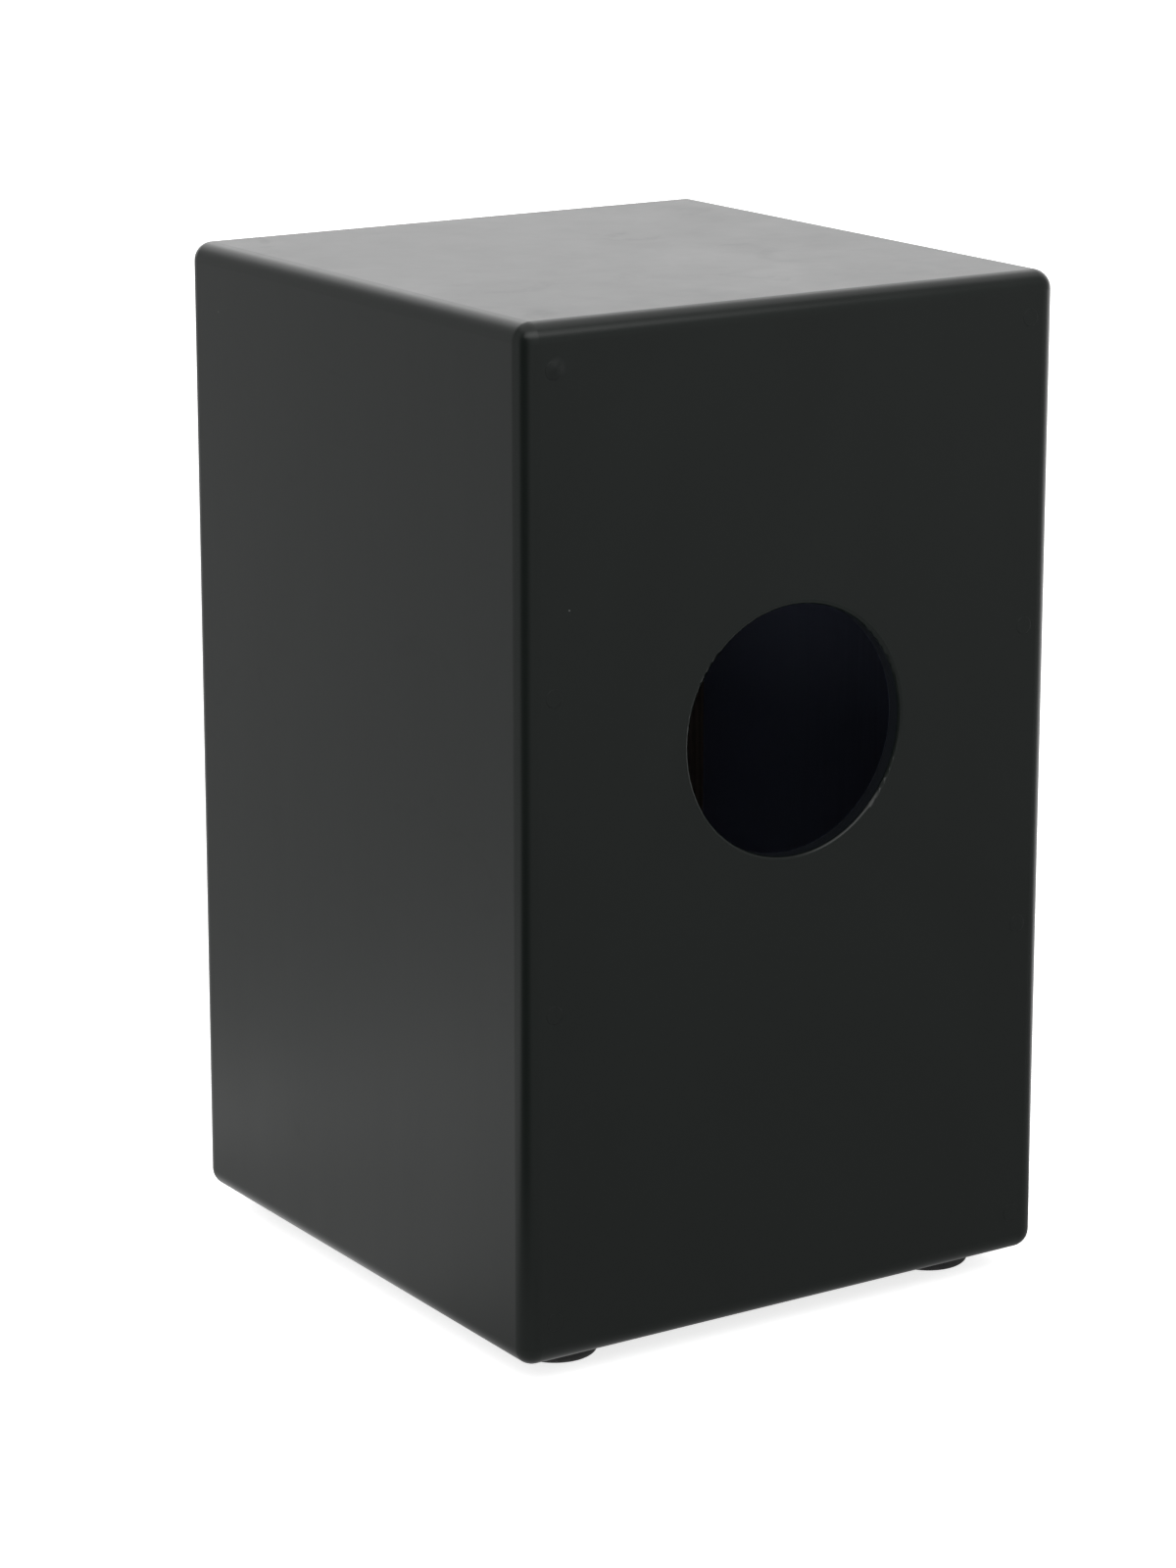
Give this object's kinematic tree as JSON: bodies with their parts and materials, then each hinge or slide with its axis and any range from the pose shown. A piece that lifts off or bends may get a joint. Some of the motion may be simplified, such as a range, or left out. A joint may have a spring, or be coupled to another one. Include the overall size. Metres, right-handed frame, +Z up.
{
  "type": "cajon",
  "caption": "Black box drum to sit on: thin striking plate in front, round sound hole in the back, rubber feet, and a snare rocker hinged inside that tilts off the plate.",
  "frame": {"origin": "centre of the object's footprint, on the surface that the feet stand on", "axes": "+Z up, -Y out of the tapa (the struck front), +Y out of the sound hole, +X towards the seated player's left"},
  "size_m": [0.294, 0.302, 0.489],
  "materials": {
    "black_paint": "wooden panels under satin black paint",
    "tapa_wood": "thin plywood, stained black on the outside, satin",
    "batten_wood": "softwood, stained dark brown",
    "block_wood": "bare hardwood, sanded",
    "bar_wood": "bare beech, oiled",
    "black_steel": "black oxide",
    "zinc_steel": "zinc plated",
    "foot_rubber": "moulded black rubber",
    "nylon": "natural nylon",
    "plate_brass": "stamped sheet",
    "strand_steel": "bright steel",
    "washer_rubber": "soft sheet rubber",
    "felt": "pressed wool felt"
  },
  "bodies": {
    "box": {"top_panel": "black_paint", "bottom_panel": "black_paint", "left_side_panel": "black_paint", "right_side_panel": "black_paint", "back_panel": "black_paint", "tapa": "tapa_wood", "front_left_batten": "batten_wood", "front_right_batten": "batten_wood", "front_top_batten": "batten_wood", "front_bottom_batten": "batten_wood", "back_left_batten": "batten_wood", "back_right_batten": "batten_wood", "back_top_batten": "batten_wood", "back_bottom_batten": "batten_wood", "tapa_screws": "black_steel", "back_screws": "zinc_steel", "back_screw_plugs": "black_paint", "foot_front_left": "foot_rubber", "foot_front_right": "foot_rubber", "foot_back_left": "foot_rubber", "foot_back_right": "foot_rubber", "foot_washers": "zinc_steel", "foot_screws": "zinc_steel", "left_pivot_block": "block_wood", "right_pivot_block": "block_wood", "pivot_block_screws": "zinc_steel", "left_pivot_bush": "nylon", "right_pivot_bush": "nylon"},
    "rocker": {"snare_bar": "bar_wood", "left_snare_plate": "plate_brass", "right_snare_plate": "plate_brass", "left_snare_strands": "strand_steel", "right_snare_strands": "strand_steel", "snare_plate_screws": "zinc_steel", "pivot_pins": "strand_steel", "friction_washers": "washer_rubber", "felt_strip": "felt"}
  },
  "joints": [
    {"name": "snare_rocker_hinge", "type": "hinge", "parent": "box", "child": "rocker", "pos_m": [0, -0.11634, 0.351], "axis": [-1, 0, 0], "range_deg": [0, 50]}
  ]
}
